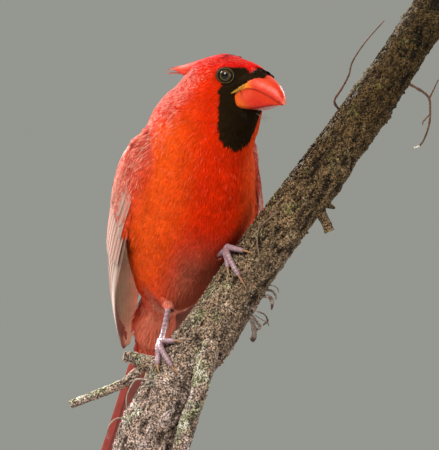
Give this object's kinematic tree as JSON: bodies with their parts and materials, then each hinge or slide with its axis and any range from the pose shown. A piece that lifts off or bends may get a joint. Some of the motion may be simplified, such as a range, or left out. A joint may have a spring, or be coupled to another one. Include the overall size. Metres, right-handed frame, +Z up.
{
  "type": "northern cardinal",
  "caption": "Still life-size male northern cardinal with crest and heavy cone bill, gripping a cut branch on a round display stand.",
  "frame": {"origin": "centre of the underside of the stand's base", "axes": "+Z up; the bird's trunk faces -Y and its left side is +X; the head is turned 22 degrees to its left"},
  "size_m": [0.1499, 0.1532, 0.211],
  "materials": {
    "plumage": "soft matt feathers",
    "flight_feathers": "satin feather vanes",
    "bill_horn": "smooth horn with a soft gloss",
    "eye": "wet gloss",
    "leg_scales": "satin horny scales",
    "bark": "rough bark with lichen",
    "stand_wood": "dark satin varnish",
    "stand_steel": "brushed"
  },
  "bodies": {
    "root": {"head": "plumage", "crest": "plumage", "neck": "plumage", "trunk": "plumage", "tail_coverts": "plumage", "thigh_left": "plumage", "thigh_right": "plumage", "tail": "flight_feathers", "wing_left_coverts": "flight_feathers", "wing_left_secondaries": "flight_feathers", "wing_left_primaries": "flight_feathers", "wing_right_coverts": "flight_feathers", "wing_right_secondaries": "flight_feathers", "wing_right_primaries": "flight_feathers", "bill_upper": "bill_horn", "bill_lower": "bill_horn", "eye_left": "eye", "eye_right": "eye", "leg_left": "leg_scales", "leg_right": "leg_scales", "perch_branch": "bark", "stand_base": "stand_wood", "stand_rod": "stand_steel"}
  },
  "joints": []
}
